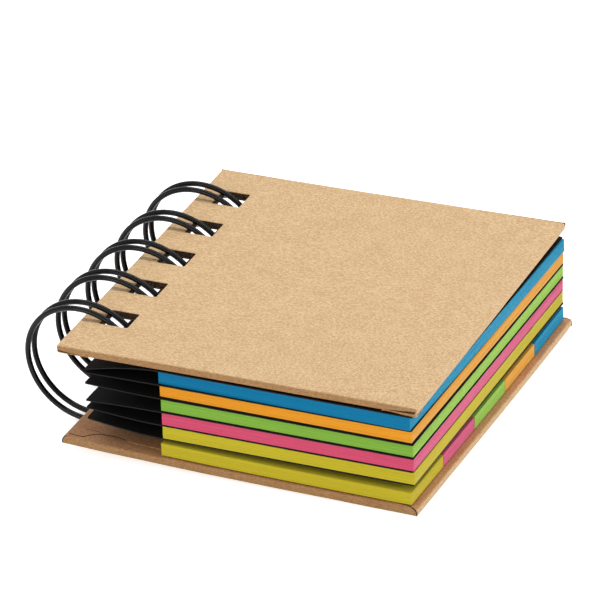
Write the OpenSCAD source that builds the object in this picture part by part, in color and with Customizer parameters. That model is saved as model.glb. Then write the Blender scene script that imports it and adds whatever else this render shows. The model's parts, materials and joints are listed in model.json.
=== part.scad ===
// Spiral notepad: two wrapped board covers, six black leaves and pads of sticky notes on a twin-loop wire.
// X runs from the spine to the fore edge, Y along the spine, away from the reader, and Z up.
// The origin lies under the middle of the whole book, level with the lowest point of the wire.

/* [Covers] */
// Width of a cover, from its spine edge to its fore edge
cover_w = 71.6; // [71:0.1:90]
// Height of a cover along the spine
cover_d = 77; // [76:0.5:100]
// Thickness of a cover: board and its paper wrap
cover_t = 1.5; // [1:0.1:3]
// Radius of the soft edge where the wrap turns round the board
cover_edge_r = 0.45; // [0.1:0.05:0.45]
// How far the front cover has slid on the wire, towards the spine
front_slip = 0.4; // [0:0.05:0.45]
// How far the back cover has slid on the wire, away from the spine
back_slip = 0.6; // [0.4:0.05:0.65]
// Turn of the front cover about the middle of its spine edge, in degrees, as the loops' play lets it lie
front_turn = 0.8; // [0:0.05:0.85]
// Turn of the back cover about the middle of its spine edge, in degrees
back_turn = -0.35; // [-0.4:0.05:0.1]

/* [Linings] */
// Thickness of the paper pasted inside each cover
lining_t = 0.15; // [0.1:0.05:0.4]
// Strip of turned-in wrap left bare round each lining
lining_margin = 3; // [1:0.5:3.5]

/* [Leaves] */
// Width of a black card leaf, from its spine edge to its fore edge
leaf_w = 65.4; // [50:0.1:66]
// Height of a leaf along the spine
leaf_d = 75.2; // [75:0.1:100]
// Thickness of a leaf
leaf_t = 0.2; // [0.15:0.05:0.5]
// How far each leaf's spine edge stands above its glued part, from the last leaf to the fly leaf
leaf_rise = [1.4, 0.9, -0.4, 0.4, -0.2, -2.4];
// How far the leaves hang back from the wire, towards the fore edge
leaf_slack = 0.2; // [0:0.1:0.4]
// Distance from the spine edge of a leaf to its slots
leaf_margin = 3.8; // [3.5:0.1:4.1]

/* [Sticky notes] */
// Width of a note, from its spine side to the fore edge
note_w = 50; // [40:0.5:50]
// Height of a note along the spine
note_d = 75; // [60:0.5:75]
// Thickness of one pad of notes
pad_t = 2.62; // [1.5:0.01:4]
// Turn of each pad of notes on its leaf, in degrees, from the yellow notes at the back to the blue ones
note_turn = [0.2, 0.1, 0, -0.2, -0.6];
// Number of page flag pads side by side in one note's height
flag_count = 5; // [5]
// Gap between two flag pads
flag_gap = 0.1; // [0.05:0.05:1]
// How far the row of flag pads sits nearer the reader than the notes
flag_shift = 0.3; // [0:0.1:0.5]
// How far the leaves stand out past the notes at the fore edge
leaf_lip = 0.1; // [0:0.1:1]

/* [Clearances] */
// Room between the fly leaf and the front lining
top_gap = 0.35; // [0.2:0.05:1]
// Room between the flags and the last leaf
flag_top_gap = 0.05; // [0.05:0.01:0.2]

/* [Punched slots] */
// Width of a slot, across the spine
slot_w = 5.7; // [5.6:0.1:6]
// Height of a slot, along the spine
slot_d = 5.7; // [5.6:0.1:7]
// Distance from the spine edge of a cover to its slots
slot_margin = 4.05; // [3.5:0.05:4.1]
// Distance from one slot to the next
loop_pitch = 13; // [9:0.1:14]
// Number of slots and of wire loops
loop_count = 5; // [3:1:5]
// How far the row of slots sits beyond the middle of the spine
punch_shift_y = 1; // [0:0.5:2]

/* [Twin-loop wire] */
// Thickness of the coated wire
wire_d = 1; // [0.6:0.1:1]
// Distance between the two legs of a loop, middle to middle
leg_gap = 2.7; // [2.2:0.1:2.8]
// Lean of the loops along the spine, in degrees, for the way past the axis and for the way above it
loop_slant = -2.1; // [-2.2:0.1:2.2]
loop_lean = -2.6; // [-2.7:0.1:2.7]
// How far past the rings' axis the wire goes through the covers' outer faces
wire_hook = 6.2; // [6:0.1:7]
// Bend radius where a leg turns into the bar that leads to the next loop
root_bend_r = 1.2; // [0.8:0.1:1.4]
// Where the bars lie on the ring, below the level of its axis
bar_angle = 31.5; // [31:0.5:33]
// Where the closed tips of the loops lie on the ring, below the level of its axis
tip_angle = 43.5; // [42:0.5:44]
// Straight stub left where the wire was cut at each end of the comb
stub_l = 1; // [0.5:0.1:3]

/* [Hidden] */
$fn = 48;

// Steps in the bend of a leaf
BEND_STEPS = 12;
// Steps along the wire's path: in a leg, round a closed tip and round the bend into a bar
LEG_STEPS = 24;
TIP_STEPS = 6;
ROOT_STEPS = 3;
// Sides of the wire's section
WIRE_SIDES = 8;
// How far a cutter runs past the faces it goes through
CUT = 2;

kraft = "#dcb98a";
lining_kraft = "#c39a68";
black_card = "#1d1c1e";
black_wire = "#141416";
blue = "#1f8fc0";
orange = "#f3a52c";
green = "#86c440";
pink = "#e7608e";
yellow = "#cdc634";

// Heights are measured from the axis of the rings, which lies halfway up the closed book.
pad_count = 6;
stack_t = 2 * (cover_t + lining_t) + pad_count * (pad_t + leaf_t) + flag_top_gap + top_gap;
face_z = stack_t / 2;
inner_z = face_z - cover_t;
lined_z = inner_z - lining_t;

// The wire meets the covers' outer faces at wire_hook, which sets the size of the rings.
wire_r = wire_d / 2;
ring_r = sqrt(pow(face_z, 2) + pow(wire_hook, 2));
ring_out = ring_r + wire_r;
// Where the wire crosses a height, as a distance past the axis, and its half width there
function chord(z) = sqrt(pow(ring_r, 2) - pow(z, 2));
function half_width(z) = wire_r * ring_r / chord(z);
pass_lo = chord(face_z) - half_width(face_z);
pass_hi = chord(inner_z) + half_width(inner_z);

// Spine edges, as distances past the axis of the rings
cover_x = (pass_lo + pass_hi) / 2 - slot_margin - slot_w / 2;
front_x = cover_x - front_slip;
back_x = cover_x + back_slip;
leaf_x = ring_r + leaf_slack - leaf_margin - slot_w / 2;
note_x = leaf_x + leaf_w - leaf_lip - note_w;

// How far a turned cover reaches towards the fore edge, away from the reader and towards the reader
function fore_reach(turn) = cover_w * cos(turn) + cover_d / 2 * abs(sin(turn));
function far_reach(turn) = cover_d / 2 * cos(turn) + cover_w * max(sin(turn), 0);
function near_reach(turn) = far_reach(-turn);

// The axis of the rings, in the frame of the whole book
axis_x = (ring_out - max(front_x + fore_reach(front_turn), back_x + fore_reach(back_turn))) / 2;
axis_y = (max(near_reach(front_turn), near_reach(back_turn))
    - max(far_reach(front_turn), far_reach(back_turn))) / 2;
axis_z = ring_out;

// Levels in the stack, counted from the back: 0 is the flags, 5 the blue notes under the fly leaf
flags_z = -lined_z;
level_t = pad_t + leaf_t;
function leaf_z(i) = flags_z + pad_t + flag_top_gap + i * level_t;
function note_z(i) = leaf_z(i) + leaf_t;

// Ring angles, counted from the fore edge side upwards over the top
bar_turn = root_bend_r / ring_r * 180 / PI;
tip_turn = leg_gap / 2 / ring_r * 180 / PI;
leg_from = -bar_angle + bar_turn;
leg_to = 360 - tip_angle - tip_turn;

function slot_y(i) = punch_shift_y + (i - (loop_count - 1) / 2) * loop_pitch;

// Everything is drawn about the axis of the rings and then set down in the book's own frame.
module in_book() {
    translate([axis_x, axis_y, axis_z]) children();
}

// Flat outline with round corners
module soft_rect(w, h, r) {
    translate([r, 0]) square([w - 2 * r, h]);
    translate([0, r]) square([w, h - 2 * r]);
    for (x = [r, w - r], y = [r, h - r])
        translate([x, y]) circle(r);
}

// Flat piece centred on the spine's middle, drawn from its spine edge
module sheet(w, d, t) {
    translate([0, -d / 2, 0]) cube([w, d, t]);
}

// Board wrapped in paper: every edge is soft, and the corners are mitred as the wrap is folded.
module wrapped_board(w, d, t, r) {
    intersection() {
        translate([0, d / 2, 0]) rotate([90, 0, 0]) linear_extrude(d) soft_rect(w, t, r);
        translate([0, -d / 2, 0]) rotate([90, 0, 90]) linear_extrude(w) soft_rect(d, t, r);
    }
}

// Row of slots to punch, at a distance from the spine edge of the piece that they go through
module punch(margin, z_from, z_to) {
    for (i = [0 : loop_count - 1])
        translate([margin, slot_y(i) - slot_d / 2, z_from - CUT])
            cube([slot_w, slot_d, z_to - z_from + 2 * CUT]);
}

module cover(x, turn, z) {
    color(kraft) in_book() translate([x, 0, z]) rotate(turn) difference() {
        wrapped_board(cover_w, cover_d, cover_t, cover_edge_r);
        punch(slot_margin, 0, cover_t);
    }
}

// Paper pasted over the turned-in wrap, punched together with its cover
module lining(x, turn, z) {
    color(lining_kraft) in_book() translate([x, 0, z]) rotate(turn) difference() {
        translate([lining_margin, 0, 0])
            sheet(cover_w - 2 * lining_margin, cover_d - 2 * lining_margin, lining_t);
        punch(slot_margin, 0, lining_t);
    }
}

module front_cover() { cover(front_x, front_turn, inner_z); }
module back_cover() { cover(back_x, back_turn, -face_z); }
module front_lining() { lining(front_x, front_turn, lined_z); }
module back_lining() { lining(back_x, back_turn, -inner_z); }

// A leaf lies flat over its pad and bends on its way to the wire like a strip held at one end.
bend_l = note_x - leaf_x;
function bend(t) = pow(t, 2) * (3 - t) / 2;
function bend_line(rise, z) = [
    for (i = [0 : BEND_STEPS])
        [note_x - leaf_x - i / BEND_STEPS * bend_l, z + rise * bend(i / BEND_STEPS)]
];
function backwards(list) = [for (i = [len(list) - 1 : -1 : 0]) list[i]];

module leaf_outline(rise) {
    polygon(concat(
        [[leaf_w, leaf_t], [leaf_w, 0]],
        bend_line(rise, 0),
        backwards(bend_line(rise, leaf_t))
    ));
}

module leaf(i) {
    rise = leaf_rise[i];
    color(black_card) in_book() translate([leaf_x, 0, leaf_z(i)]) difference() {
        translate([0, leaf_d / 2, 0]) rotate([90, 0, 0]) linear_extrude(leaf_d) leaf_outline(rise);
        punch(leaf_margin, min(rise, 0), max(rise, 0) + leaf_t);
    }
}

module leaf_1() { leaf(5); }
module leaf_2() { leaf(4); }
module leaf_3() { leaf(3); }
module leaf_4() { leaf(2); }
module leaf_5() { leaf(1); }
module leaf_6() { leaf(0); }

// Pad of notes glued to the leaf below it
module notes(i, tint) {
    color(tint) in_book() translate([note_x + note_w / 2, 0, note_z(i)]) rotate(note_turn[i])
        translate([-note_w / 2, 0, 0]) sheet(note_w, note_d, pad_t);
}

module yellow_notes() { notes(0, yellow); }
module pink_notes() { notes(1, pink); }
module green_notes() { notes(2, green); }
module orange_notes() { notes(3, orange); }
module blue_notes() { notes(4, blue); }

// Page flags glued inside the back cover, side by side, the first one nearest the reader
flag_d = (note_d - (flag_count - 1) * flag_gap) / flag_count;
module flags(i, tint) {
    color(tint) in_book()
        translate([note_x, -note_d / 2 - flag_shift + i * (flag_d + flag_gap), flags_z])
            cube([note_w, flag_d, pad_t]);
}

module yellow_flags() { flags(0, yellow); }
module pink_flags() { flags(1, pink); }
module green_flags() { flags(2, green); }
module orange_flags() { flags(3, orange); }
module blue_flags() { flags(4, blue); }

// Directions at an angle of the ring: outwards from its axis, and along its turn
function outwards(angle) = [cos(angle), 0, sin(angle)];
function along(angle) = [-sin(angle), 0, cos(angle)];

// A station of the wire's path lies in the plane that touches the ring at an angle, u along the turn.
// The wire there heads some degrees away from the turn, towards +Y.
function station(angle, u, y, heading) = [
    ring_r * outwards(angle) + [0, y, 0] + u * along(angle),
    outwards(angle),
    cos(heading) * along(angle) + [0, sin(heading), 0]
];

// The path of one loop: in from the bar, up and over the ring, round the closed tip, back and out.
function leg_angle(i) = leg_from + i / LEG_STEPS * (leg_to - leg_from);
function root_in(y) = [
    for (i = [0 : ROOT_STEPS]) let (a = 90 * i / ROOT_STEPS)
        station(leg_from, -root_bend_r * cos(a), y - root_bend_r * (1 - sin(a)), 90 - a)
];
function leg_out(y) = [for (i = [1 : LEG_STEPS]) station(leg_angle(i), 0, y, 0)];
function tip(y) = [
    for (i = [1 : TIP_STEPS]) let (a = 180 * i / TIP_STEPS)
        station(leg_to, leg_gap / 2 * sin(a), y - leg_gap / 2 * cos(a), a)
];
function leg_back(y) = [for (i = [LEG_STEPS - 1 : -1 : 0]) station(leg_angle(i), 0, y, 180)];
function root_out(y) = [
    for (i = [1 : ROOT_STEPS]) let (a = 90 * i / ROOT_STEPS)
        station(leg_from, -root_bend_r * sin(a), y + root_bend_r * (1 - cos(a)), 180 - a)
];
function loop_path(y) = concat(
    root_in(y - leg_gap / 2), leg_out(y - leg_gap / 2), tip(y),
    leg_back(y + leg_gap / 2), root_out(y + leg_gap / 2)
);

// The whole comb is one wire: a stub, the loops with straight bars between them, and a stub.
bar_reach = leg_gap / 2 + root_bend_r;
function stub_end(y) = [station(leg_from, -root_bend_r, y, 90)];
function comb_path() = concat(
    stub_end(slot_y(0) - bar_reach - stub_l),
    [for (i = [0 : loop_count - 1]) each loop_path(slot_y(i))],
    stub_end(slot_y(loop_count - 1) + bar_reach + stub_l)
);

// The loops lean along the spine together, each point by its way past the axis and above it.
function leaned(p) = p + [0, p[0] * tan(loop_slant) + p[2] * tan(loop_lean), 0];

// Ring of points round one station of the path
function section(s) = [
    for (k = [0 : WIRE_SIDES - 1]) let (a = 360 * k / WIRE_SIDES)
        leaned(s[0] + wire_r * (cos(a) * s[1] + sin(a) * cross(s[2], s[1])))
];

// Sweeps a round wire along a path of stations.
module swept_wire(path) {
    last = (len(path) - 1) * WIRE_SIDES;
    polyhedron(
        points = [for (s = path) each section(s)],
        faces = concat(
            [[for (k = [0 : WIRE_SIDES - 1]) k], [for (k = [WIRE_SIDES - 1 : -1 : 0]) last + k]],
            [for (j = [0 : len(path) - 2], k = [0 : WIRE_SIDES - 1])
                let (a = j * WIRE_SIDES, b = a + WIRE_SIDES, n = (k + 1) % WIRE_SIDES)
                each [[a + k, b + k, b + n], [a + k, b + n, a + n]]]
        )
    );
}

module binding_wire() {
    color(black_wire) in_book() swept_wire(comb_path());
}

front_cover();
front_lining();
leaf_1();
blue_notes();
leaf_2();
orange_notes();
leaf_3();
green_notes();
leaf_4();
pink_notes();
leaf_5();
yellow_notes();
leaf_6();
yellow_flags();
pink_flags();
green_flags();
orange_flags();
blue_flags();
back_lining();
back_cover();
binding_wire();
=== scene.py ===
# Spiral notepad: two wrapped boards, black card leaves and pads of coloured notes on a twin-loop wire.
# Meshes are drawn in millimetres and set down in metres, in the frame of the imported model.
import json
import math
import random

import bmesh
import bpy
from mathutils import Matrix, Vector, geometry, noise


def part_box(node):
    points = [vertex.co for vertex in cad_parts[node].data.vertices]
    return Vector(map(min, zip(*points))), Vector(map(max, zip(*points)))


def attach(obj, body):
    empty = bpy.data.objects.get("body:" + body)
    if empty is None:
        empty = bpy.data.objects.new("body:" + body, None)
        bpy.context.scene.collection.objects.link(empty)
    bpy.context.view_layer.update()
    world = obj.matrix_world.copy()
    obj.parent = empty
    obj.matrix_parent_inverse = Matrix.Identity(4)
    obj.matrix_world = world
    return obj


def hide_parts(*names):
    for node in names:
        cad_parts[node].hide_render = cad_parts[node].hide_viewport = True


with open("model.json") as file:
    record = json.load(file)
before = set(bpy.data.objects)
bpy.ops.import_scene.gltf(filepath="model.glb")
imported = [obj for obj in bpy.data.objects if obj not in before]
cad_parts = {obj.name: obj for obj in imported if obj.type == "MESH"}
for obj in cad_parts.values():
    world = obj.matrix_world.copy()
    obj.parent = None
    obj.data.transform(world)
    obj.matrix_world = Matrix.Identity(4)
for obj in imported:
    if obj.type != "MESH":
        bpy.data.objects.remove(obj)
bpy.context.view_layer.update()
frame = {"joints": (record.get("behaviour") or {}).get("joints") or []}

# Back cover
# A stiff pulp board about 1.5 mm thick, wrapped in brown kraft paper that is glued down and turned in
# over every edge. It lies on the loops by five punched slots, turned a little by their play.
MM = 0.001
COVER_W, COVER_D, COVER_T = 71.6, 77.0, 1.5
COVER_EDGE_R = 0.45
COVER_CORNER_R = 0.55
COVER_TRIM = 0.12
TURN_IN = 14.0
PAPER_T = 0.1
# How far in from the near edge the board is bare over a slit, and over how much of that it sinks back
BARE_REACH, BARE_FADE = 4.0, 2.5
# The wrap's strips meet in a mitre at each corner, an open groove as deep as half its width
MITRE_FROM, MITRE_GROOVE = 1.5, 0.12
# Spacing of the points that fill the faces of a board or a lining
FACE_MESH = 2.4
SLOT_MARGIN, SLOT_W, SLOT_D, SLOT_R = 4.05, 5.7, 5.7, 0.3
SLOT_PITCH, SLOT_COUNT, SLOT_SHIFT = 13.0, 5, 1.0
BACK_TURN = -0.35
BACK_SAG = 1.05
ring_axis = Vector(frame["joints"][0]["pos_m"])
slot_rows = [SLOT_SHIFT + (i - (SLOT_COUNT - 1) / 2) * SLOT_PITCH for i in range(SLOT_COUNT)]


def linear(hex_colour):
    """An sRGB hex colour as linear RGBA."""
    levels = [int(hex_colour[i:i + 2], 16) / 255 for i in (1, 3, 5)]
    return [c / 12.92 if c <= 0.04045 else ((c + 0.055) / 1.055) ** 2.4 for c in levels] + [1.0]


def add(tree, kind, links=(), **settings):
    """Adds a shader node: settings are its properties or input sockets, links are (socket, output)."""
    made = tree.nodes.new(kind)
    for name, value in settings.items():
        if hasattr(made, name):
            setattr(made, name, value)
        else:
            made.inputs[name.replace("_", " ")].default_value = value
    for socket, output in links:
        tree.links.new(output, made.inputs[socket])
    return made


def blank_material(name):
    """A new material, its empty tree and its output node."""
    made = bpy.data.materials.new(name)
    made.use_nodes = True
    made.node_tree.nodes.clear()
    return made, made.node_tree, add(made.node_tree, "ShaderNodeOutputMaterial")


def kraft_paper(name, light, dark, fleck):
    """Unbleached kraft paper, rolled matt: two close browns in a fine grain, pale clouds, and sparse dark
    flecks of bark. Along the near and far edges of a board, and on its inner side, it is darkened and
    reddened with painted shade. It has a wide, faint sheen."""
    made, tree, out = blank_material(name)
    spot = add(tree, "ShaderNodeTexCoord")
    place = spot.outputs["Object"]
    # Fibre clumps are about 0.3 mm across, and the clouds of pulp about 4 mm.
    clump = add(tree, "ShaderNodeTexNoise", [("Vector", place)],
                Scale=1 / (0.3 * MM), Detail=3.0, Roughness=0.7)
    cloud = add(tree, "ShaderNodeTexNoise", [("Vector", place)], Scale=1 / (4 * MM), Detail=2.0)
    # Single fibres lie mostly along the sheet: the noise is drawn out three times along it.
    along = add(tree, "ShaderNodeMapping", [("Vector", place)], Scale=(0.33, 1.0, 1.0))
    fibre = add(tree, "ShaderNodeTexNoise", [("Vector", along.outputs[0])],
                Scale=1 / (0.2 * MM), Detail=2.0)
    grain = add(tree, "ShaderNodeMath", [(0, clump.outputs["Fac"]), (1, fibre.outputs["Fac"])])
    soft_cloud = add(tree, "ShaderNodeMath", [(0, cloud.outputs["Fac"])], operation="MULTIPLY")
    soft_cloud.inputs[1].default_value = 0.2
    mixed = add(tree, "ShaderNodeMath", [(0, grain.outputs[0]), (1, soft_cloud.outputs[0])])
    tone = add(tree, "ShaderNodeMapRange", [("Value", mixed.outputs[0])], From_Min=0.97, From_Max=1.23)
    brown = add(tree, "ShaderNodeMix", [(0, tone.outputs[0])], data_type="RGBA")
    brown.inputs[6].default_value = linear(dark)
    brown.inputs[7].default_value = linear(light)
    # One fleck in each cell of 1.8 mm, and most cells hold one too faint to show.
    cell = add(tree, "ShaderNodeTexVoronoi", [("Vector", place)], Scale=1 / (1.8 * MM))
    near = add(tree, "ShaderNodeMapRange", [("Value", cell.outputs["Distance"])],
               From_Min=0.03, From_Max=0.1, To_Min=1.0, To_Max=0.0)
    rare = add(tree, "ShaderNodeSeparateColor", [("Color", cell.outputs["Color"])])
    rare = add(tree, "ShaderNodeMapRange", [("Value", rare.outputs[0])], From_Min=0.5, From_Max=1.0,
               To_Max=0.8)
    shown = add(tree, "ShaderNodeMath", [(0, near.outputs[0]), (1, rare.outputs[0])],
                operation="MULTIPLY")
    flecked = add(tree, "ShaderNodeMix", [(0, shown.outputs[0]), (6, brown.outputs[2])],
                  data_type="RGBA")
    flecked.inputs[7].default_value = linear(fleck)
    # Painted shade: faces towards the board's own Y, its near and far edges, are darker and redder.
    facing = add(tree, "ShaderNodeSeparateXYZ", [("Vector", spot.outputs["Normal"])])
    across = add(tree, "ShaderNodeMath", [(0, facing.outputs["Y"])], operation="ABSOLUTE")
    turned = add(tree, "ShaderNodeMapRange", [("Value", across.outputs[0])],
                 From_Min=0.35, From_Max=0.9)
    edge_shade = add(tree, "ShaderNodeMix", [(0, turned.outputs[0]), (6, flecked.outputs[2])],
                 data_type="RGBA", blend_type="MULTIPLY")
    edge_shade.inputs[7].default_value = linear("#c7b294")
    # Painted shade: on the inner side it is darker.
    inside = add(tree, "ShaderNodeMapRange", [("Value", facing.outputs["Z"])],
                 From_Min=-0.5, From_Max=-0.95)
    inner_shade = add(tree, "ShaderNodeMix", [(0, inside.outputs[0]), (6, edge_shade.outputs[2])],
                 data_type="RGBA", blend_type="MULTIPLY")
    inner_shade.inputs[7].default_value = linear("#e3c7b9")
    # The sheet's tooth is about 0.15 mm.
    tooth = add(tree, "ShaderNodeTexNoise", [("Vector", place)], Scale=1 / (0.15 * MM), Detail=3.0)
    bump = add(tree, "ShaderNodeBump", [("Height", tooth.outputs["Fac"])], Distance=0.02 * MM,
               Strength=0.7)
    paper = add(tree, "ShaderNodeBsdfPrincipled",
                [("Base Color", inner_shade.outputs[2]), ("Normal", bump.outputs[0])],
                Roughness=0.6, IOR=1.5)
    tree.links.new(paper.outputs[0], out.inputs["Surface"])
    return made


kraft_wrap = kraft_paper("kraft_paper_wrap", "#ecca9b", "#cda473", "#5a3a20")


def pulp_board():
    """Pulp board where the punch has cut it or the wrap has come away: layers of torn fibres with paler
    ones between them, rough, and darkened to brown-black with painted shade of the slot walls."""
    made, tree, out = blank_material("cut_pulp_board_shaded")
    place = add(tree, "ShaderNodeTexCoord").outputs["Object"]
    # The torn clumps are about 0.3 mm across.
    layer = add(tree, "ShaderNodeTexNoise", [("Vector", place)], Scale=1 / (0.3 * MM),
                Detail=4.0, Roughness=0.7)
    tone = add(tree, "ShaderNodeMapRange", [("Value", layer.outputs["Fac"])],
               From_Min=0.42, From_Max=0.72)
    torn = add(tree, "ShaderNodeMix", [(0, tone.outputs[0])], data_type="RGBA")
    # Both browns are the board's own, darkened with painted shade.
    torn.inputs[6].default_value = linear("#20150d")
    torn.inputs[7].default_value = linear("#76563a")
    bump = add(tree, "ShaderNodeBump", [("Height", layer.outputs["Fac"])], Distance=0.08 * MM)
    board = add(tree, "ShaderNodeBsdfPrincipled",
                [("Base Color", torn.outputs[2]), ("Normal", bump.outputs[0])], Roughness=0.95)
    tree.links.new(board.outputs[0], out.inputs["Surface"])
    return made


shaded_cut_board = pulp_board()


def gap_shade_material():
    """Painted shade for the hair-wide gap beside a glued edge: dark brown and dull."""
    made, tree, out = blank_material("painted_gap_shade")
    gap = add(tree, "ShaderNodeBsdfPrincipled", Base_Color=linear("#1e1106"), Roughness=0.9)
    tree.links.new(gap.outputs[0], out.inputs["Surface"])
    return made


gap_shade = gap_shade_material()


def rounded(x0, y0, x1, y1, r, arc_steps, step, grow=0.0):
    """Outline of a rectangle with round corners, anticlockwise, with points along its sides. Grown or
    shrunk, it keeps as many points."""
    points = []
    sides = [max(1, round((x1 - x0, y1 - y0)[k % 2] / step)) for k in range(4)]
    x0, y0, x1, y1, r = x0 - grow, y0 - grow, x1 + grow, y1 + grow, r + grow
    corners = [(x1 - r, y1 - r, 0), (x0 + r, y1 - r, 90), (x0 + r, y0 + r, 180), (x1 - r, y0 + r, 270)]
    for k, (cx, cy, turn) in enumerate(corners):
        arc = [math.radians(turn + 90 * i / arc_steps) for i in range(arc_steps + 1)]
        points += [(cx + r * math.cos(a), cy + r * math.sin(a)) for a in arc]
        nx, ny, next_turn = corners[(k + 1) % 4]
        a = math.radians(next_turn if k < 3 else 0)
        end = (nx + r * math.cos(a), ny + r * math.sin(a))
        start = points[-1]
        for i in range(1, sides[k]):
            f = i / sides[k]
            points.append((start[0] + f * (end[0] - start[0]), start[1] + f * (end[1] - start[1])))
    return points


def extent(points):
    """The box round some points."""
    xs, ys = [p[0] for p in points], [p[1] for p in points]
    return min(xs), min(ys), max(xs), max(ys)


def in_any(x, y, boxes):
    """Whether a point lies in one of some boxes."""
    return any(x0 < x < x1 and y0 < y < y1 for x0, y0, x1, y1 in boxes)


def filled(outline, holes, spacing, seed, lines=()):
    """Triangles that fill an outline round its holes, with scattered points inside. Their edges follow
    the lines given."""
    points, edges = [], []
    for loop in [outline] + list(holes):
        first = len(points)
        points += [Vector(p) for p in loop]
        edges += [(first + i, first + (i + 1) % len(loop)) for i in range(len(loop))]
    for line in lines:
        first = len(points)
        points += [Vector(p) for p in line]
        edges += [(first + i, first + i + 1) for i in range(len(line) - 1)]
    gap = 0.45 * spacing
    x0, y0, x1, y1 = extent(outline)
    boxes = [extent(hole) for hole in holes]
    shut = [(left - gap, near - gap, right + gap, far + gap) for left, near, right, far in boxes]
    draw = random.Random(seed)
    for i in range(1, round((x1 - x0) / spacing)):
        for j in range(1, round((y1 - y0) / spacing)):
            x = x0 + (i + draw.uniform(-0.25, 0.25)) * spacing
            y = y0 + (j + draw.uniform(-0.25, 0.25)) * spacing
            inside = x0 + gap < x < x1 - gap and y0 + gap < y < y1 - gap
            if inside and not in_any(x, y, shut):
                points.append(Vector((x, y)))
    made = geometry.delaunay_2d_cdt(points, edges, [], 1, 1e-5)
    spots = [tuple(p) for p in made[0]]

    def in_hole(face):
        """Whether a triangle lies in a hole, which is all but square."""
        return in_any(sum(spots[i][0] for i in face) / 3, sum(spots[i][1] for i in face) / 3, boxes)

    return spots, [face for face in made[2] if not in_hole(face)]


def add_face(bm, corners, material=0):
    """Adds a face unless it is degenerate or there already."""
    distinct = list(dict.fromkeys(corners))
    if len(distinct) > 2 and bm.faces.get(distinct) is None:
        bm.faces.new(distinct).material_index = material


def skin(bm, rings, material=0, closed=True):
    """Joins rings of points, each one a list of vertices, with quads."""
    for low, high in zip(rings, rings[1:]):
        count = len(low)
        for i in range(count if closed else count - 1):
            n = (i + 1) % count
            add_face(bm, [low[i], low[n], high[n], high[i]], material)


def settled(bm, name, materials, place, body, node, smooth=35):
    """Makes the object from a bmesh drawn in millimetres, places it, and lets it ride on a body and stand
    for a node."""
    bmesh.ops.remove_doubles(bm, verts=bm.verts, dist=1e-4)
    bmesh.ops.recalc_face_normals(bm, faces=bm.faces)
    mesh = bpy.data.meshes.new(name)
    bm.to_mesh(mesh)
    bm.free()
    mesh.transform(Matrix.Scale(MM, 4))
    for material in materials:
        mesh.materials.append(material)
    made = bpy.data.objects.new(name, mesh)
    bpy.context.scene.collection.objects.link(made)
    mesh.shade_smooth()
    mesh.set_sharp_from_angle(angle=math.radians(smooth))
    made.matrix_world = place
    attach(made, body)
    if node:
        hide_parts(node)
    return made


def slot_outline(row, grow):
    """Outline of one punched slot, grown outwards."""
    return rounded(SLOT_MARGIN, row - SLOT_D / 2, SLOT_MARGIN + SLOT_W, row + SLOT_D / 2,
                   SLOT_R, 3, 1.5, grow)


def at(x, line, k):
    """Value k of a line of stations at a place, the stations being (x, value, value...)."""
    if x <= line[0][0]:
        return line[0][k]
    for low, high in zip(line, line[1:]):
        if x <= high[0]:
            return low[k] + (x - low[0]) / (high[0] - low[0]) * (high[k] - low[k])
    return line[-1][k]


def warp(x, y, twist, sag):
    """How far a spot of a cover strays outwards, in millimetres: a twist lifts its far fore corner and
    sinks its near one, and a sag bows its fore side away from the leaves, less so at the far end."""
    u, v = max(0.0, min(1.0, x / COVER_W)), y / (COVER_D / 2)
    return twist * u ** 1.5 * v + sag * (1 - (1 - u) ** 3) * (1 - 0.7 * max(0.0, (1 + v) / 2) ** 4)


def warped(bm, twist, sag):
    """Warps a drawing on a cover."""
    for v in bm.verts:
        v.co.z += warp(v.co.x, v.co.y, twist, sag)


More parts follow.
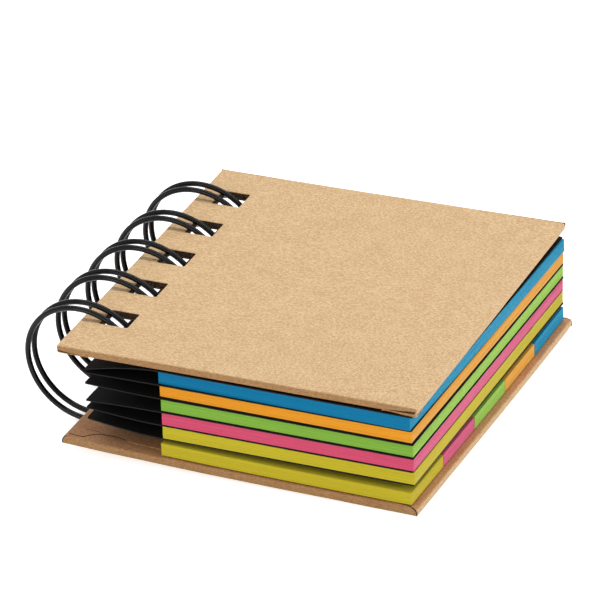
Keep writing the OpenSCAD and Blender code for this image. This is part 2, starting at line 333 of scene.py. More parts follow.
def wrapped_board(name, seed, place, body, node, twist=0.0, sag=0.0, slits=()):
    """A wrapped board, drawn from its spine edge, with its outer face up: z runs from the inner face. Over
    each slit in its near edge the board's lower side is bare and stands higher."""
    w, d, t = COVER_W - COVER_TRIM, COVER_D - 2 * COVER_TRIM, COVER_T
    x0, y0, x1, y1 = COVER_TRIM, -d / 2, w, d / 2
    bm = bmesh.new()
    # From the outer face round the edge to the inner one, the ways in from the outline and the heights
    turn = [math.radians(15 * i) for i in range(7)]
    profile = [(COVER_EDGE_R * (1 - math.sin(a)), t - COVER_EDGE_R * (1 - math.cos(a))) for a in turn]
    profile += [(inset, t - z) for inset, z in reversed(profile)]

    def edge_loop(inset):
        """The board's outline, inset."""
        return rounded(x0, y0, x1, y1, COVER_CORNER_R, 5, 1.2, -inset)

    def bared(x, y, z):
        """Height of the board's lower side over a slit, or the height given."""
        fade = max(0.0, min(1.0, (BARE_REACH - (y - y0)) / BARE_FADE))
        return max([z] + [fade * at(x, slit, 1) for slit in slits if slit[0][0] < x < slit[-1][0]])

    skin(bm, [[bm.verts.new((x, y, bared(x, y, z))) for x, y in edge_loop(inset)]
              for inset, z in profile])
    # The punch presses the paper down where it enters and where it comes out, and cuts the board bare.
    press = [(0.3, 0.0), (0.12, 0.03), (0.0, 0.14)]
    for row in slot_rows:
        steps = [(grow, t - drop) for grow, drop in press]
        steps += [(grow, drop) for grow, drop in reversed(press)]
        loops = [[bm.verts.new((x, y, z)) for x, y in slot_outline(row, grow)] for grow, z in steps]
        skin(bm, loops[:3])
        # The cut wall takes the board's material, with its painted shade.
        skin(bm, loops[2:4], 1)
        skin(bm, loops[3:])
    holes = [slot_outline(row, press[0][0]) for row in slot_rows]

    def inner_z(x, y):
        """Height of the inner face: the wrap's turned-in strips, with mitred corners, round bare board."""
        from_x, from_y = min(x - x0, x1 - x), min(y - y0, y1 - y)
        edge = min(from_x, from_y)
        if edge > TURN_IN + 0.05:
            return PAPER_T
        off_mitre = abs(from_x - from_y) / math.sqrt(2)
        return bared(x, y, MITRE_GROOVE if off_mitre < 0.05 and edge > MITRE_FROM else 0.0)

    # The strips' own edges and the sides and middles of the mitres, as lines for the faces to follow
    lines = []
    for e in (TURN_IN, TURN_IN + 0.1):
        lines.append([(x0 + e, y0 + e), (x1 - e, y0 + e), (x1 - e, y1 - e), (x0 + e, y1 - e),
                      (x0 + e, y0 + e)])
    for sx, sy in ((0, 0), (1, 0), (1, 1), (0, 1)):
        for off in (-MITRE_GROOVE, 0, MITRE_GROOVE):
            ends = [(e + off, e - off) for e in (MITRE_FROM, TURN_IN - 0.3)]
            lines.append([(x1 - a if sx else x0 + a, y1 - b if sy else y0 + b) for a, b in ends])
    # The outer face is plain, and the inner one shows the strips.
    for z_at, followed in ((lambda x, y: t, ()), (inner_z, lines)):
        points, faces = filled(edge_loop(profile[0][0]), holes, FACE_MESH, seed, followed)
        verts = [bm.verts.new((x, y, z_at(x, y))) for x, y in points]
        for corners in faces:
            add_face(bm, [verts[i] for i in corners])
    # A slit lays the board itself bare.
    for face in bm.faces:
        spots = [v.co for v in face.verts]
        if all(0.05 < p.z < 1.0 and p.y < y0 + BARE_REACH and bared(p.x, p.y, 0.0) > p.z - 0.01
               for p in spots):
            face.material_index = 1
    # Board and paper are never quite flat or straight: under 0.05 mm, in waves of about 8 and 25 mm.
    for v in bm.verts:
        edge = 0.045 * noise.noise(Vector((v.co.x, v.co.y, seed * 9.0)) / 8)
        v.co.x += edge * (1 if v.co.x > w / 2 else -1) * (abs(v.co.x - w / 2) / (w / 2)) ** 8
        v.co.y += edge * (1 if v.co.y > 0 else -1) * (abs(v.co.y) / (d / 2)) ** 8
        v.co.z += 0.03 * noise.noise(Vector((v.co.x, v.co.y, seed * 5.0)) / 25)
    warped(bm, twist, sag)
    return settled(bm, name, [kraft_wrap, shaded_cut_board], place, body, node)


def on_cover(node, turn, outer_up):
    """Places a drawing on a cover: from the middle of its spine edge, its outer face up or down."""
    low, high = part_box(node)
    swing = COVER_D / 2 * MM * abs(math.sin(math.radians(turn)))
    lift = low.z if outer_up else high.z
    where = (Matrix.Translation((low.x + swing, ring_axis.y, lift))
             @ Matrix.Rotation(math.radians(turn), 4, "Z"))
    return where if outer_up else where @ Matrix.Diagonal((1, 1, -1, 1))


back_place = on_cover("back_cover", BACK_TURN, False)
back_cover = wrapped_board("back_board_wrapped", 2, back_place, "back_board", "back_cover", sag=BACK_SAG)

# Turned-in corners
# At each corner the wrap is folded like a parcel: the strip along the near or far edge ends in a curve
# over the paper from the fore or spine edge. It is glued flat; a hair-wide strip at its end is painted
# shade.
TONGUE_L = 15.0
TONGUE_T, TONGUE_LIFT = 0.05, 0.1
GAP_W, GAP_LIFT = 0.22, 0.045


def sheet_sides(bm, over, under):
    """Skins both sides of a sheet of paper, rows of vertices, and closes its four edges."""
    skin(bm, over, closed=False)
    skin(bm, under, closed=False)
    for top, low in ((over[0], under[0]), (over[-1], under[-1]),
                     ([row[0] for row in over], [row[0] for row in under]),
                     ([row[-1] for row in over], [row[-1] for row in under])):
        skin(bm, [top, low], closed=False)


def corner_tongue(name, place, body, at_spine, far_side, reach, twist=0.0, sag=0.0):
    """The end of the wrap along a near or far edge, next to one corner. Its curved end stands up by a
    hair, and the rest sinks into the strip that it belongs to."""
    w, d, t = COVER_W - COVER_TRIM, COVER_D / 2 - COVER_TRIM, COVER_T
    bm = bmesh.new()
    rows, cols = 20, 16
    r = COVER_EDGE_R
    arc = r * math.pi / 2
    # A way of 0 is where the inner face meets the rounded edge, and the tongue starts a little before it.
    way_from, way_to = -0.55, 2 * arc + t - 2 * r
    side = 1 if far_side else -1

    def on_edge(u, way, h):
        """A point h off the board's skin: u from the corner, and a way round the edge."""
        if way < 0:
            y, z, ny, nz = r - way, 0.0, 0.0, -1.0
        elif way < arc:
            a = way / r
            y, z, ny, nz = r * (1 - math.sin(a)), r * (1 - math.cos(a)), -math.sin(a), -math.cos(a)
        elif way < way_to - arc:
            y, z, ny, nz = 0.0, r + way - arc, -1.0, 0.0
        else:
            a = (way - way_to + arc) / r
            y, z, ny, nz = r * (1 - math.cos(a)), t - r + r * math.sin(a), -math.cos(a), math.sin(a)
        return bm.verts.new((u if at_spine else w - u, side * (d - y - ny * h), z + nz * h))

    # The line along which the tongue ends: well away from the corner at first, and soon close to it
    ends = []
    for i in range(rows + 1):
        v = i / rows
        ends.append((0.25 + reach * (1 - v) ** 5, way_from + v * (way_to - way_from)))
    over, under, gap = [], [], []
    for i, (end, way) in enumerate(ends):
        steps = [end + (j / cols) ** 1.6 * (TONGUE_L - end) for j in range(cols + 1)]
        rises = [TONGUE_T + (TONGUE_LIFT - TONGUE_T) * math.exp(-(u - end) / 0.7) for u in steps]
        rises = [min(1.0, (TONGUE_L - u) / 6) * rise for u, rise in zip(steps, rises)]
        over.append([on_edge(u, way, rise) for u, rise in zip(steps, rises)])
        sinks = [min(rise - 0.06, 0.5 * rise) - 0.02 for rise in rises]
        under.append([on_edge(u, way, sink) for u, sink in zip(steps, sinks)])
        # The strip of painted shade lies just past the end, square to its line.
        low, high = ends[max(0, i - 1)], ends[min(rows, i + 1)]
        du, dw = high[0] - low[0], high[1] - low[1]
        length = math.hypot(du, dw)
        wide = GAP_W * min(1.0, 0.35 + 3 * i / rows)
        past = (max(0.0, end - wide * dw / length), way + wide * du / length)
        gap.append([on_edge(end, way, GAP_LIFT), on_edge(*past, GAP_LIFT)])
    sheet_sides(bm, over, under)
    skin(bm, gap, 1, closed=False)
    warped(bm, twist, sag)
    made = settled(bm, name, [kraft_wrap, gap_shade], place, body, None, smooth=60)


for at_spine in (0, 1):
    for far_side in (0, 1):
        corner_tongue(f"back_board_tongue_{at_spine}{far_side}", back_place, "back_board",
                      at_spine, far_side, reach=6.0 - 2.5 * at_spine + 0.8 * far_side, sag=BACK_SAG)

# Back lining
# A sheet of kraft paper pasted over the turned-in wrap and punched with the board. It was trimmed by hand,
# so its edge near the reader's spine corner is torn and the paper has cracked there.
LINING_T = 0.15
LINING_MARGIN = 3.0
# Parts into which each side of a lining's outline is divided
LINING_PARTS = 30
CRACK_HALF_W = 0.07
lining_kraft = kraft_paper("kraft_paper_lining", "#e9c596", "#caa06f", "#5a3a20")


def lining(name, seed, place, body, node, corner=(), cracks=(), twist=0.0, sag=0.0):
    """A pasted lining, drawn on a cover's inner face, which sinks where no wrap lies under it. Its corner
    may be an outline of its own, and a crack is a line of (x, y, share of its full width)."""
    m = LINING_MARGIN
    x0, y0, x1, y1 = m, -COVER_D / 2 + m, COVER_W - m, COVER_D / 2 - m

    def side(start, end):
        """Places along a side, from its start on."""
        return [start + (end - start) * i / LINING_PARTS for i in range(LINING_PARTS)]

    edge = list(corner) or [(x0, y0)]
    torn_to, torn_from = edge[-1][0], edge[0][1]
    edge += [(x, y0) for x in side(x0, x1) if x > torn_to]
    edge += [(x1, y) for y in side(y0, y1)]
    edge += [(x, y1) for x in side(x1, x0)]
    edge += [(x0, y) for y in side(y1, y0) if y > torn_from]
    draw = random.Random(seed)
    edge = [(x + draw.uniform(-0.04, 0.04), y + draw.uniform(-0.04, 0.04)) for x, y in edge]
    holes = [slot_outline(row, 0.05) for row in slot_rows]
    points, faces = filled(edge, holes, FACE_MESH, seed)
    bm = bmesh.new()

    def level(x, y):
        """Height of the paper: it sinks by the wrap's thickness past the turned-in strips."""
        depth = min(x, COVER_W - x, y + COVER_D / 2, COVER_D / 2 - y)
        return PAPER_T * 0.8 * max(0.0, min(1.0, (depth - TURN_IN) / 0.6))

    for lift in (-LINING_T, 0.0):
        verts = [bm.verts.new((x, y, level(x, y) + lift)) for x, y in points]
        for corners in faces:
            add_face(bm, [verts[i] for i in corners])
    for loop in [edge] + holes:
        skin(bm, [[bm.verts.new((x, y, level(x, y) + lift)) for x, y in loop]
                  for lift in (-LINING_T, 0.0)], 2)
    # Of the sheet's own edges only those in the slots and the torn part stand open, in painted shade.
    slots = (SLOT_MARGIN - 1, y0 + 1, SLOT_MARGIN + SLOT_W + 1, y1 - 1)
    torn = (0.0, -COVER_D / 2, torn_to if corner else 0.0, y0 + 8)
    for face in bm.faces:
        if face.material_index == 2:
            middle = face.calc_center_median()
            face.material_index = int(in_any(middle.x, middle.y, [slots, torn]))
    # Under each crack lies a thin strip of painted shade.
    for crack in cracks:
        skin(bm, [[bm.verts.new((x, y + off * wide, level(x, y) - LINING_T - 0.01))
                   for x, y, wide in crack] for off in (-CRACK_HALF_W, CRACK_HALF_W)], 1, closed=False)
    warped(bm, twist, sag)
    return settled(bm, name, [lining_kraft, gap_shade], place, body, node)


# The torn corner's outline and the crack beside it, from the middle of the cover's spine edge
torn_corner = [(3.2, -31.0), (1.6, -34.0), (0.9, -37.0), (2.4, -37.15), (3.85, -37.0),
               (5.0, -35.7), (5.7, -35.15), (6.8, -34.85), (9.6, -34.6), (12.0, -35.2)]
torn_crack = [(3.0, -34.5, 0.2), (3.9, -34.35, 1.0), (4.8, -34.3, 0.8), (5.9, -34.4, 1.0),
              (6.6, -34.7, 0.3)]
back_lining = lining("back_board_lining", 4, back_place, "back_board", "back_lining", torn_corner,
                     [torn_crack], sag=BACK_SAG)

# Page flags
# Five pads of small paper flags, 50 x 15 mm, glued side by side inside the back cover. Each is a stack of
# cut sheets, so its sides show fine ledges and each sheet takes the light a little differently.
SHEET_T = 0.105
SHEET_PLAY = 0.018
# How far a sheet stays inside the pad's size, and how far one does that the glue holds back
SHEET_INSET, HELD_INSET = 0.04, 0.16
NOTE_W, NOTE_D = 50.0, 75.0


def note_paper(name, face, streak, along):
    """Uncoated dyed paper, cut by a guillotine: even colour in the face, and fine streaks along the cut
    edges where sheets differ. It is matt, and where it is viewed at a slant a painted sheen mixes in a
    paler colour, in tufts."""
    made, tree, out = blank_material(name)
    place = add(tree, "ShaderNodeTexCoord").outputs["Object"]
    island = add(tree, "ShaderNodeNewGeometry").outputs["Random Per Island"]
    # Streaks run along the sheets: about 0.1 mm high and 6 mm long.
    drawn = add(tree, "ShaderNodeMapping", [("Vector", place)], Scale=(0.02, 0.02, 1.0))
    grain = add(tree, "ShaderNodeTexNoise", [("Vector", drawn.outputs[0])],
                Scale=1 / (0.12 * MM), Detail=2.0)
    both = add(tree, "ShaderNodeMath", [(0, island), (1, grain.outputs["Fac"])])
    tone = add(tree, "ShaderNodeMapRange", [("Value", both.outputs[0])], From_Min=0.4, From_Max=1.6)
    dyed = add(tree, "ShaderNodeMix", [(0, tone.outputs[0])], data_type="RGBA")
    dyed.inputs[6].default_value = linear(streak)
    dyed.inputs[7].default_value = linear(face)
    # Painted sheen: at a slant the dye is mixed towards a paler colour.
    slant = add(tree, "ShaderNodeLayerWeight", Blend=0.5)
    tips = add(tree, "ShaderNodeMapRange", [("Value", slant.outputs["Facing"])],
               From_Min=0.3, From_Max=0.62)
    # The painted sheen comes in tufts of about 0.15 mm.
    tuft = add(tree, "ShaderNodeTexNoise", [("Vector", place)], Scale=1 / (0.15 * MM), Detail=2.0)
    thick = add(tree, "ShaderNodeMapRange", [("Value", tuft.outputs["Fac"])],
                From_Min=0.3, From_Max=0.55)
    pale = add(tree, "ShaderNodeMath", [(0, tips.outputs[0]), (1, thick.outputs[0])],
               operation="MULTIPLY")
    dye_and_sheen = add(tree, "ShaderNodeMix", [(0, pale.outputs[0]), (6, dyed.outputs[2])], data_type="RGBA")
    dye_and_sheen.inputs[7].default_value = linear(along)
    tooth = add(tree, "ShaderNodeTexNoise", [("Vector", place)], Scale=1 / (0.08 * MM), Detail=2.0)
    bump = add(tree, "ShaderNodeBump", [("Height", tooth.outputs["Fac"])], Distance=0.008 * MM)
    paper = add(tree, "ShaderNodeBsdfPrincipled",
                [("Base Color", dye_and_sheen.outputs[2]), ("Normal", bump.outputs[0])],
                Roughness=0.5, Specular_IOR_Level=0.12)
    tree.links.new(paper.outputs[0], out.inputs["Surface"])
    return made


# Each dye: its face, its streaks, and the paler colour of its painted sheen at a slant.
dyes = {
    "blue": note_paper("blue_note_paper", "#0784b4", "#057aa9", "#2aa6cb"),
    "orange": note_paper("orange_note_paper", "#fbac2c", "#f4a226", "#efb95a"),
    "green": note_paper("green_note_paper", "#8ec34a", "#86ba42", "#b2de66"),
    "pink": note_paper("pink_note_paper", "#ea5d80", "#e15378", "#e7769c"),
    "yellow": note_paper("yellow_note_paper", "#d9ca33", "#d0bf2c", "#d5c441"),
}


def stack(name, seed, w, d, node, turn, body, dye, shade_sheets, pivot=None, sag=0.0):
    """A pad of paper: closed sheets on each other, each one a hair out of line, where a node lies. Its
    lowest sheets may be set short of the rest and painted with a gap's shade, it may be turned about a
    pivot, and it may sag with the back cover."""
    low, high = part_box(node)
    height = (high.z - low.z) / MM
    count = round(height / SHEET_T)
    each = height / count
    from_spine = ((low + high) / 2 - Vector((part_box("back_cover")[0].x, ring_axis.y, 0))) / MM
    steps = 8 if sag else 1
    rim = [(-1 + 2 * j / steps, -1) for j in range(steps)] + [(1, -1)]
    rim += [(1 - 2 * j / steps, 1) for j in range(steps)] + [(-1, 1)]
    draw = random.Random(seed)
    bm = bmesh.new()
    for i in range(count):
        dx, dy = draw.gauss(0, SHEET_PLAY), draw.gauss(0, SHEET_PLAY)
        skew = math.radians(draw.gauss(0, 0.03))
        held_back = i < shade_sheets
        inset = HELD_INSET if held_back else SHEET_INSET
        ring = []
        # Each sheet leaves a hair of a gap over it, so that the cut edges show as lines.
        for z in (i * each, (i + 0.97) * each):
            loop = []
            for cx, cy in rim:
                x, y = cx * (w / 2 - inset), cy * (d / 2 - inset)
                drop = warp(x + from_spine.x, y + from_spine.y, 0.0, sag)
                loop.append(bm.verts.new((dx + x - skew * y, dy + y + skew * x, z - drop)))
            ring.append(loop)
        # A held-back sheet is painted with a gap's shade.
        skin(bm, ring, int(held_back))
        for loop in ring:
            for j in range(steps):
                add_face(bm, [loop[j], loop[j + 1], loop[-2 - j], loop[-1 - j]], int(held_back))
    middle = (low + high) / 2
    about = pivot or Vector((middle.x, middle.y, 0))
    place = (Matrix.Translation((about.x, about.y, low.z)) @ Matrix.Rotation(math.radians(turn), 4, "Z")
             @ Matrix.Translation((middle.x - about.x, middle.y - about.y, 0)))
    made = settled(bm, name, [dyes[dye], gap_shade], place, body, node)


FLAG_DYES = ("yellow", "pink", "green", "orange", "blue")
FLAG_GAP = 0.1
spine_side = Vector((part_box("green_flags")[0].x, ring_axis.y, 0))
for i, dye in enumerate(FLAG_DYES):
    stack(f"{dye}_page_flags", 20 + i, NOTE_W, NOTE_D / len(FLAG_DYES) - FLAG_GAP, f"{dye}_flags",
          BACK_TURN, "back_board", dye, shade_sheets=1, pivot=spine_side, sag=BACK_SAG)

# Leaves and notes
# Six leaves of black card hang on the loops by square slots. Each of the five below the fly leaf carries
# a glued pad of notes, and at the spine they fan out as the loops hold them.
LEAF_W, LEAF_D, LEAF_T = 65.4, 75.2, 0.2
LEAF_MARGIN = 3.8
# Spacing of the points that fill a leaf
LEAF_MESH = 1.9
# How far each leaf rises or sinks from its notes to its spine edge
LEAF_RISE = {"leaf_1": -2.4, "leaf_2": -0.2, "leaf_3": 0.4,
             "leaf_4": -0.4, "leaf_5": 0.9, "leaf_6": 1.4}
# How far each leaf stands out at the fore edge and at the near edge, past or short of the others
LEAF_REACH = {"leaf_1": (-0.12, 0.0), "leaf_2": (-0.3, 0.1), "leaf_3": (0.0, 0.1),
              "leaf_4": (0.0, 0.1), "leaf_5": (-0.2, 0.0), "leaf_6": (-0.1, -0.15)}
NOTE_TURN = {"blue": -0.6, "orange": -0.2, "green": 0.0, "pink": 0.1, "yellow": 0.2}
# Sheets at the bottom of each pad that the glue holds back, painted with a gap's shade
SHADE_SHEETS = {"blue": 0, "orange": 3, "green": 2, "pink": 1, "yellow": 1}
# Only the part of a leaf between the notes and its spine edge bends
LEAF_BEND = 15.3


def card(name, dark, light):
    """Black-dyed card, calendered: nearly black with a faint warm fibre, and a low soft sheen."""
    made, tree, out = blank_material(name)
    place = add(tree, "ShaderNodeTexCoord").outputs["Object"]
    # Fibres of the card are about 0.4 mm.
    fibre = add(tree, "ShaderNodeTexNoise", [("Vector", place)], Scale=1 / (0.4 * MM), Detail=5.0)
    tone = add(tree, "ShaderNodeMix", [(0, fibre.outputs["Fac"])], data_type="RGBA")
    tone.inputs[6].default_value = linear(dark)
    tone.inputs[7].default_value = linear(light)
    bump = add(tree, "ShaderNodeBump", [("Height", fibre.outputs["Fac"])], Distance=0.02 * MM)
    board = add(tree, "ShaderNodeBsdfPrincipled",
                [("Base Color", tone.outputs[2]), ("Normal", bump.outputs[0])], Roughness=0.65,
                Specular_IOR_Level=0.2)
    tree.links.new(board.outputs[0], out.inputs["Surface"])
    return made


card_face = card("black_dyed_card", "#080707", "#121010")
card_edge = card("black_card_cut_edge", "#0d0c0b", "#1c1917")


def leaf(name, seed):
    """One leaf of card, bent like a strip held at its glued part, with punched slots and soft corners."""
    low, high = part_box(name)
    rise = LEAF_RISE[name]
    base = low.z if rise > 0 else high.z - LEAF_T * MM
    fore, near = LEAF_REACH[name]
    outline = rounded(0, -LEAF_D / 2 - near, LEAF_W + fore, LEAF_D / 2, 0.3, 3, 1.5)
    holes = [rounded(LEAF_MARGIN, row - SLOT_D / 2, LEAF_MARGIN + SLOT_W, row + SLOT_D / 2, 0.4, 3, 1.2)
             for row in slot_rows]
    points, faces = filled(outline, holes, LEAF_MESH, seed)

    def level(x, y):
        """Height of the leaf over its flat part."""
        t = max(0.0, 1 - x / LEAF_BEND)
        sway = 0.12 * t * noise.noise(Vector((y / 18, seed * 3.0, 0)))
        return rise * t * t * (3 - t) / 2 + sway

    draw = random.Random(seed)
    shift = {}

    def rough(x, y):
        """A spot of a cut edge, which is fuzzy: it strays by up to 0.03 mm."""
        key = (round(x, 3), round(y, 3))
        if key not in shift:
            shift[key] = (draw.uniform(-0.03, 0.03), draw.uniform(-0.03, 0.03))
        return x + shift[key][0], y + shift[key][1]

    bm = bmesh.new()
    rims = {(round(x, 3), round(y, 3)) for loop in [outline] + holes for x, y in loop}
    for lift in (0.0, LEAF_T):
        verts = []
        for x, y in points:
            px, py = rough(x, y) if (round(x, 3), round(y, 3)) in rims else (x, y)
            verts.append(bm.verts.new((px, py, level(x, y) + lift)))
        for corners in faces:
            add_face(bm, [verts[i] for i in corners])
    for loop in [outline] + holes:
        skin(bm, [[bm.verts.new((*rough(x, y), level(x, y) + lift)) for x, y in loop]
                  for lift in (0.0, LEAF_T)], 1)
    place = Matrix.Translation((low.x, ring_axis.y, base))
    made = settled(bm, name + "_card", [card_face, card_edge], place, "leaf_block", name)


for i in range(1, 7):
    leaf(f"leaf_{i}", 30 + i)
for i, (dye, turn) in enumerate(NOTE_TURN.items()):
    stack(f"{dye}_note_pad", 40 + i, NOTE_W, NOTE_D, f"{dye}_notes", turn, "leaf_block", dye,
          shade_sheets=SHADE_SHEETS[dye])

# Front cover
# The same wrapped board and lining as at the back, the other way up on the loops and twisted a little.
# At both near corners the turned-in paper has come unglued and hangs open under the board.
FRONT_TURN = 0.8
FRONT_TWIST = 0.24
# Stations along the near edge: x, height of the board over the slit, height of the slit, lowest paper
FORE_SLIT = [(64.6, 0.0, 0.0, 0.0), (65.8, 0.34, 0.04, -0.03), (67.2, 0.48, 0.2, -0.14),
             (69.2, 0.66, 0.38, -0.4), (70.4, 0.8, 0.54, -0.46), (70.9, 0.84, 0.56, -0.45),
             (71.15, 0.8, 0.05, -0.38), (71.38, 0.55, 0.0, -0.16)]
SPINE_SLIT = [(0.14, 0.6, 0.3, 0.1), (0.35, 0.66, 0.46, 0.02), (1.6, 0.52, 0.34, -0.03),
              (3.4, 0.36, 0.2, -0.03), (4.8, 0.2, 0.06, -0.02), (6.0, 0.08, 0.0, 0.0),
              (6.6, 0.0, 0.0, 0.0)]
front_place = on_cover("front_cover", FRONT_TURN, True)
front_cover = wrapped_board("front_board_wrapped", 3, front_place, "front_board", "front_cover",
                            FRONT_TWIST, slits=(FORE_SLIT, SPINE_SLIT))
front_lining = lining("front_board_lining", 5, front_place, "front_board", "front_lining",
                      twist=FRONT_TWIST)
for at_spine in (0, 1):
    corner_tongue(f"front_board_tongue_{at_spine}1", front_place, "front_board",
                  at_spine, 1, reach=4.5 - 1.5 * at_spine, twist=FRONT_TWIST)


def loose_fold(name, stations, count):
    """Turned-in paper that hangs under a slit in the near edge of the front cover."""
    bm = bmesh.new()
    w, y0 = COVER_W - COVER_TRIM, -COVER_D / 2 + COVER_TRIM
    over, under = [], []
    for i in range(count + 1):
        x = stations[0][0] + (stations[-1][0] - stations[0][0]) * i / count
        board, gap, low = (at(x, stations, k) for k in (1, 2, 3))
        top = board - gap
        # In plan the fold follows the round corners of the board.
        off = max(0.0, x - (w - COVER_CORNER_R), COVER_TRIM + COVER_CORNER_R - x)
        front = y0 + COVER_CORNER_R - math.sqrt(max(0.0, COVER_CORNER_R ** 2 - off ** 2))
        below = max(0.0, COVER_EDGE_R - top)
        inset = COVER_EDGE_R - math.sqrt(max(0.0, COVER_EDGE_R ** 2 - below ** 2))
        # Seen along the edge, the paper runs down from the slit and in again under the board.
        section = [(inset - 0.04, top), (inset * 0.5 - 0.06, (2 * top + low) / 3),
                   (0.0, (top + 2 * low) / 3), (0.14, low + 0.06), (0.45, low), (1.4, 0.75 * low),
                   (3.0, -0.02)]
        over.append([bm.verts.new((x, front + y, z)) for y, z in section])
        thick = [(PAPER_T, -0.01), (PAPER_T, 0.0), (PAPER_T, 0.02), (0.07, 0.07)] + [(0.0, PAPER_T)] * 3
        under.append([bm.verts.new((x, front + y + dy, z + dz))
                      for (y, z), (dy, dz) in zip(section, thick)])
    sheet_sides(bm, over, under)
    warped(bm, FRONT_TWIST, 0.0)
    made = settled(bm, name, [kraft_wrap], front_place, "front_board", None, smooth=60)


loose_fold("front_board_open_fore_corner", FORE_SLIT, 28)
loose_fold("front_board_open_spine_corner", SPINE_SLIT, 20)

# Twin-loop wire
# One length of steel wire, 1.1 mm thick with its black nylon coat, bent into a comb of double loops and
# closed so that the loops' tips meet the bars. It was cut off straight at both ends.
WIRE_R = 0.55
# Up to the middle of the wire, so that its outer face lies where the thinner solid's does
RING_R = 11.94
LEG_GAP = 2.7
ROOT_BEND_R = 1.2
# Where the bars and the loops' tips lie, in degrees below the line from the axis to the fore side
BAR_ANGLE, TIP_ANGLE = 31.5, 43.5
STUB_L = 1.0
# Degrees by which a loop strays along the spine on its way across and on its way up
LOOP_SLANT, LOOP_LEAN = -2.1, -2.6
WIRE_SIDES = 20
LEG_STEPS, TIP_STEPS, ROOT_STEPS = 72, 16, 8


def coated_steel():
    """Steel wire in a thin black nylon coat: deep black, smooth, with narrow bright highlights."""
    made, tree, out = blank_material("nylon_coated_wire")
    place = add(tree, "ShaderNodeTexCoord").outputs["Object"]
    # The coat is drawn on, so it has very shallow waves about 2.5 mm long.
    wave = add(tree, "ShaderNodeTexNoise", [("Vector", place)], Scale=1 / (2.5 * MM), Detail=1.0)
    bump = add(tree, "ShaderNodeBump", [("Height", wave.outputs["Fac"])], Distance=0.02 * MM)
    nylon = add(tree, "ShaderNodeBsdfPrincipled", [("Normal", bump.outputs[0])],
                Base_Color=linear("#060607"), Roughness=0.14, Specular_IOR_Level=0.22)
    tree.links.new(nylon.outputs[0], out.inputs["Surface"])
    return made


def bare_steel():
    """The cut ends of the wire, where the coat stops: grey steel marked by the cutter."""
    made, tree, out = blank_material("cut_steel_wire")
    steel = add(tree, "ShaderNodeBsdfPrincipled", Base_Color=linear("#8d8f92"), Metallic=1.0,
                Roughness=0.45)
    tree.links.new(steel.outputs[0], out.inputs["Surface"])
    return made


def station(angle, along, y, heading):
    """A point of the wire's path, the way out from the axis there, and the way that the wire heads."""
    a, h = math.radians(angle), math.radians(heading)
    outwards, turning = Vector((math.cos(a), 0, math.sin(a))), Vector((-math.sin(a), 0, math.cos(a)))
    return (RING_R * outwards + along * turning + Vector((0, y, 0)), outwards,
            math.cos(h) * turning + Vector((0, math.sin(h), 0)))


def comb_path():
    """Stations along the whole wire: a stub, five double loops with bars between them, and a stub."""
    leg_from = -BAR_ANGLE + math.degrees(ROOT_BEND_R / RING_R)
    leg_to = 360 - TIP_ANGLE - math.degrees(LEG_GAP / 2 / RING_R)
    reach = LEG_GAP / 2 + ROOT_BEND_R
    path = [station(leg_from, -ROOT_BEND_R, slot_rows[0] - reach - STUB_L, 90)]
    for row in slot_rows:
        near, far = row - LEG_GAP / 2, row + LEG_GAP / 2
        for i in range(ROOT_STEPS + 1):
            a = math.radians(90 * i / ROOT_STEPS)
            path.append(station(leg_from, -ROOT_BEND_R * math.cos(a),
                                near - ROOT_BEND_R * (1 - math.sin(a)), 90 - math.degrees(a)))
        turns = [leg_from + i / LEG_STEPS * (leg_to - leg_from) for i in range(1, LEG_STEPS + 1)]
        path += [station(a, 0, near, 0) for a in turns]
        for i in range(1, TIP_STEPS + 1):
            a = math.radians(180 * i / TIP_STEPS)
            path.append(station(leg_to, LEG_GAP / 2 * math.sin(a), row - LEG_GAP / 2 * math.cos(a),
                                math.degrees(a)))
        path += [station(a, 0, far, 180) for a in reversed([leg_from] + turns[:-1])]
        for i in range(1, ROOT_STEPS + 1):
            a = math.radians(90 * i / ROOT_STEPS)
            path.append(station(leg_from, -ROOT_BEND_R * math.sin(a),
                                far + ROOT_BEND_R * (1 - math.cos(a)), 180 - math.degrees(a)))
    return path + [station(leg_from, -ROOT_BEND_R, slot_rows[-1] + reach + STUB_L, 90)]


def binding():
    """The swept wire. The loops lean along the spine together, as the covers pull them."""
    slant, lean = math.tan(math.radians(LOOP_SLANT)), math.tan(math.radians(LOOP_LEAN))
    bm = bmesh.new()
    rings = []
    for spot, outwards, heading in comb_path():
        ring = []
        for k in range(WIRE_SIDES):
            a = 2 * math.pi * k / WIRE_SIDES
            p = spot + WIRE_R * (math.cos(a) * outwards + math.sin(a) * heading.cross(outwards))
            ring.append(bm.verts.new((p.x, p.y + slant * p.x + lean * p.z, p.z)))
        rings.append(ring)
    skin(bm, rings)
    for ring in (rings[0], rings[-1]):
        add_face(bm, ring, 1)
    made = settled(bm, "twin_loop_wire", [coated_steel(), bare_steel()], Matrix.Translation(ring_axis),
                   "leaf_block", "binding_wire", smooth=50)


binding()

# Floor
# A white table. The closed book rests on the bottoms of its loops and on the sagging fore edge of its back
# cover, so it lies a little tilted, and the floor is drawn tilted by as much under the upright model.
FLOOR_SIZE = 3.0
FLOOR_GLOW = 0.7
back_low, back_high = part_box("back_cover")
edge_r = COVER_EDGE_R * MM
ring_out = (RING_R + WIRE_R) * MM
fore_low = back_low.z - BACK_SAG * MM
# The floor touches two rounds: the loops about their axis, and the rounded fore edge of the cover.
across = Vector((back_high.x - edge_r - ring_axis.x, 0, fore_low + edge_r - ring_axis.z))
tilt = math.atan2(across.z, across.x) + math.asin((ring_out - edge_r) / across.length)
down = Vector((math.sin(tilt), 0, -math.cos(tilt)))

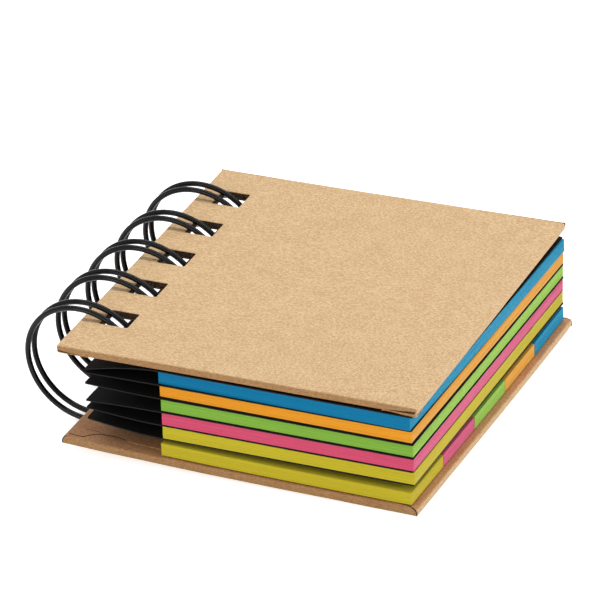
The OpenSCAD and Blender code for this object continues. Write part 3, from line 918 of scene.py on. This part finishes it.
bm = bmesh.new()
half = FLOOR_SIZE / 2
corners = ((-half, -half), (half, -half), (half, half), (-half, half))
bm.faces.new([bm.verts.new((x, y, 0)) for x, y in corners])
floor_mesh = bpy.data.meshes.new("table_top")
bm.to_mesh(floor_mesh)
bm.free()
floor = bpy.data.objects.new("table_top", floor_mesh)
bpy.context.scene.collection.objects.link(floor)
touch = ring_axis + ring_out * down
floor.matrix_world = Matrix.Translation((touch.x, 0, touch.z)) @ Matrix.Rotation(-tilt, 4, "Y")


def seen_or_mirrored(tree):
    """1 for rays that the camera or a glossy face sends out, 0 for the rest of the light."""
    ray = add(tree, "ShaderNodeLightPath")
    return add(tree, "ShaderNodeMath",
               [(0, ray.outputs["Is Camera Ray"]), (1, ray.outputs["Is Glossy Ray"])],
               operation="MAXIMUM").outputs[0]


# Matt white laminate that also glows to the eye, as an overexposed table does in a photograph
white_table, tree, out = blank_material("white_laminate")
strength = add(tree, "ShaderNodeMath", [(0, seen_or_mirrored(tree))], operation="MULTIPLY")
strength.inputs[1].default_value = FLOOR_GLOW
glow = add(tree, "ShaderNodeEmission", [("Strength", strength.outputs[0])])
laminate = add(tree, "ShaderNodeBsdfDiffuse", Color=(0.9, 0.9, 0.9, 1.0))
sum_up = add(tree, "ShaderNodeAddShader", [(0, glow.outputs[0]), (1, laminate.outputs[0])])
tree.links.new(sum_up.outputs[0], out.inputs["Surface"])
floor_mesh.materials.append(white_table)

# Light
# A white studio: even light from all round, a long strip box overhead that draws lines on the wire, and
# low boxes at the book's right and before it.
SKY = 0.65
LAMP_AIM = (0.0, 0.0, 0.01)
world = bpy.data.worlds.new("white_studio")
world.use_nodes = True
bpy.context.scene.world = world
world.node_tree.nodes.clear()
sky = add(world.node_tree, "ShaderNodeBackground", Strength=SKY)
plain = add(world.node_tree, "ShaderNodeBackground", Strength=1.0)
choice = add(world.node_tree, "ShaderNodeMixShader",
             [(0, seen_or_mirrored(world.node_tree)), (1, sky.outputs[0]), (2, plain.outputs[0])])
add(world.node_tree, "ShaderNodeOutputWorld", [("Surface", choice.outputs[0])])


def soft_box(name, width, height, power, place):
    """An area lamp in metres and watts, turned towards the middle of the book."""
    lamp = bpy.data.lights.new(name, "AREA")
    lamp.shape = "RECTANGLE"
    lamp.size = width
    lamp.size_y = height
    lamp.energy = power
    made = bpy.data.objects.new(name, lamp)
    bpy.context.scene.collection.objects.link(made)
    towards = Vector(LAMP_AIM) - Vector(place)
    made.matrix_world = Matrix.Translation(place) @ towards.to_track_quat("-Z", "Y").to_matrix().to_4x4()


soft_box("top_strip", 1.4, 0.12, 5.2, (0.0, 0.3, 1.0))
soft_box("side_box", 0.4, 0.4, 2.2, (1.0, -0.15, 0.28))
soft_box("front_box", 0.6, 0.4, 2.4, (-0.3, -1.0, 0.25))

# Camera
# A long lens from the front, a little right of the middle and above, as the photograph was taken. The
# picture's own level is the tilted table, so the camera is rolled by as much.
LENS, SENSOR = 317.85, 36.0
AZIMUTH, ELEVATION, ROLL = 24.5293, 27.8539, -2.0533
# In millimetres: from the camera to the point that it looks at, and that point
DISTANCE = 993.44
TARGET = (2.3634, 0.0, 18.806)
az, el, roll = (math.radians(a) for a in (AZIMUTH, ELEVATION, ROLL))
backwards = Vector((math.sin(az) * math.cos(el), -math.cos(az) * math.cos(el), math.sin(el)))
level_right = Vector((math.cos(az), math.sin(az), 0))
level_up = backwards.cross(level_right)
right = math.cos(roll) * level_right + math.sin(roll) * level_up
up = math.cos(roll) * level_up - math.sin(roll) * level_right
camera_data = bpy.data.cameras.new("camera")
camera_data.lens = LENS
camera_data.sensor_width = SENSOR
camera_data.clip_start = 0.05
camera_data.clip_end = 20
camera = bpy.data.objects.new("camera", camera_data)
bpy.context.scene.collection.objects.link(camera)
turned = Matrix((right, up, backwards)).transposed().to_4x4()
camera.matrix_world = Matrix.Translation((Vector(TARGET) + backwards * DISTANCE) * MM) @ turned
bpy.context.scene.camera = camera
bpy.context.scene.view_settings.view_transform = "Standard"
